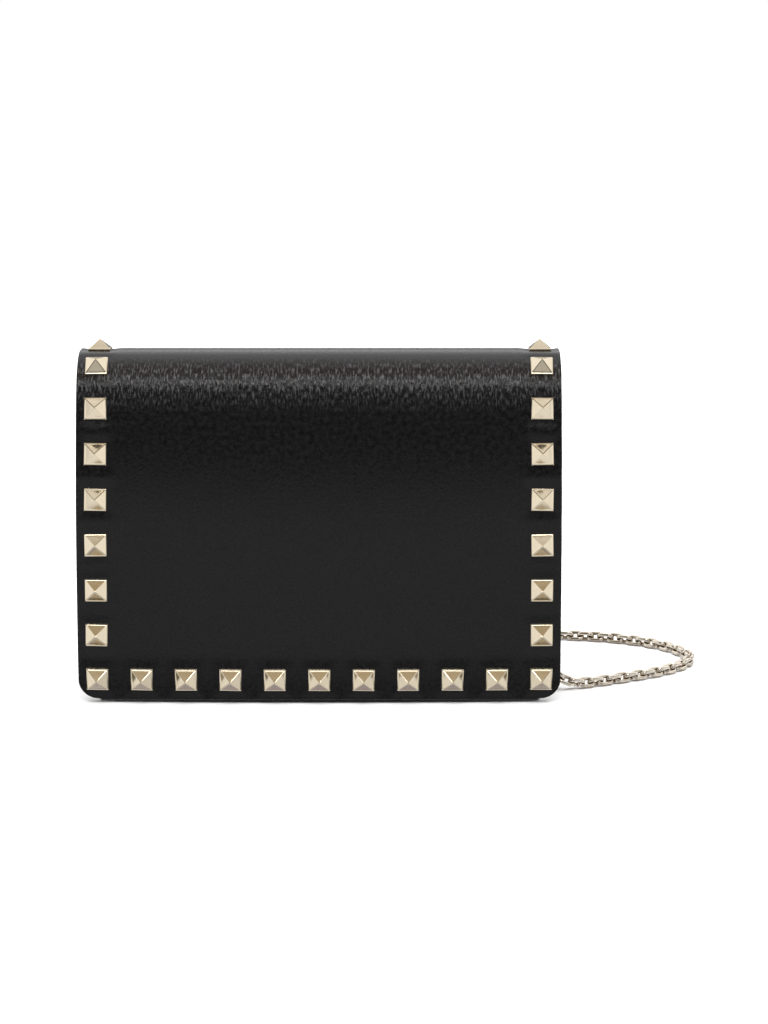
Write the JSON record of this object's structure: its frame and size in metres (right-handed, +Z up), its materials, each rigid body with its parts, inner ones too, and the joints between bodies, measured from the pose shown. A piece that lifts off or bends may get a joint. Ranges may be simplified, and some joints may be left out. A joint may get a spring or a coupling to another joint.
{
  "type": "chain wallet",
  "caption": "Small black leather shoulder wallet with a studded fold-over flap, magnetic snap, inside zip pocket, card slots and a removable link chain strap.",
  "frame": {"origin": "middle of the base, on the surface that the wallet stands on, below the hinge-to-front centre of the pouch", "axes": "+X along the width towards the right-hand strap end, the flap faces -Y, +Z up"},
  "size_m": [0.2677, 0.1357, 0.1484],
  "materials": {
    "black_leather": "smooth satin",
    "stiffener": "matte fibreboard",
    "lining": "matte woven",
    "zip_tape": "matte woven",
    "gold_metal": "polished pale gold",
    "tie_strap": "smooth satin"
  },
  "bodies": {
    "pouch": {"back_board": "stiffener", "back_lining": "lining", "back_panel": "black_leather", "base_board": "stiffener", "base_lining": "lining", "base_panel": "black_leather", "card_slot_back": "black_leather", "card_slot_front": "black_leather", "card_slot_middle": "black_leather", "chain_coil": "gold_metal", "chain_strand_left": "gold_metal", "chain_strand_right": "gold_metal", "coil_tie": "tie_strap", "front_board": "stiffener", "front_lining": "lining", "front_panel": "black_leather", "left_clasp": "gold_metal", "left_gate_pin": "gold_metal", "left_gate_spring": "gold_metal", "left_gusset": "black_leather", "left_gusset_lining": "lining", "left_jump_ring": "gold_metal", "left_rivet": "gold_metal", "left_tab": "black_leather", "pocket_bag": "lining", "right_clasp": "gold_metal", "right_gate_pin": "gold_metal", "right_gate_spring": "gold_metal", "right_gusset": "black_leather", "right_gusset_lining": "lining", "right_jump_ring": "gold_metal", "right_rivet": "gold_metal", "right_tab": "black_leather", "snap_base": "gold_metal", "snap_base_washer": "gold_metal", "zip_stops": "gold_metal", "zip_tape_lower": "zip_tape", "zip_tape_upper": "zip_tape", "zip_teeth_lower": "gold_metal", "zip_teeth_upper": "gold_metal"},
    "flap": {"flap_board": "stiffener", "flap_lining": "lining", "flap_skin": "black_leather", "snap_cap": "gold_metal", "snap_cap_washer": "gold_metal", "studs_bottom_row": "gold_metal", "studs_crown": "gold_metal", "studs_left_column": "gold_metal", "studs_right_column": "gold_metal"},
    "zip_slider": {"zip_slider": "gold_metal"},
    "zip_pull": {"zip_pull": "gold_metal"},
    "right_gate": {"right_gate": "gold_metal"},
    "right_d_ring": {"right_d_ring": "gold_metal"},
    "left_gate": {"left_gate": "gold_metal"},
    "left_d_ring": {"left_d_ring": "gold_metal"}
  },
  "joints": [
    {"name": "flap_hinge", "type": "hinge", "parent": "pouch", "child": "flap", "pos_m": [0, 0.024, 0.128], "axis": [-1, 0, 0], "range_deg": [0, 170]},
    {"name": "zip_slide", "type": "slide", "parent": "pouch", "child": "zip_slider", "axis": [-1, 0, 0], "range_m": [0, 0.118]},
    {"name": "zip_pull_hinge", "type": "hinge", "parent": "zip_slider", "child": "zip_pull", "pos_m": [0.0661, 0.017, 0.098], "axis": [0, 0, 1], "range_deg": [0, 80]},
    {"name": "right_gate_hinge", "type": "hinge", "parent": "pouch", "child": "right_gate", "pos_m": [0.0899, 0.004, 0.07695], "axis": [0, -1, 0], "range_deg": [0, 24], "stiffness_Nm_per_rad": 0.003, "springref_deg": -17.19},
    {"name": "right_d_ring_swing", "type": "hinge", "parent": "pouch", "child": "right_d_ring", "pos_m": [0.0864, 0.004, 0.0915], "axis": [0, -1, 0], "range_deg": [-8, 5]},
    {"name": "left_gate_hinge", "type": "hinge", "parent": "pouch", "child": "left_gate", "pos_m": [-0.0899, 0.004, 0.07695], "axis": [0, 1, 0], "range_deg": [0, 24], "stiffness_Nm_per_rad": 0.003, "springref_deg": -17.19},
    {"name": "left_d_ring_swing", "type": "hinge", "parent": "pouch", "child": "left_d_ring", "pos_m": [-0.0864, 0.004, 0.0915], "axis": [0, 1, 0], "range_deg": [-8, 5]}
  ]
}
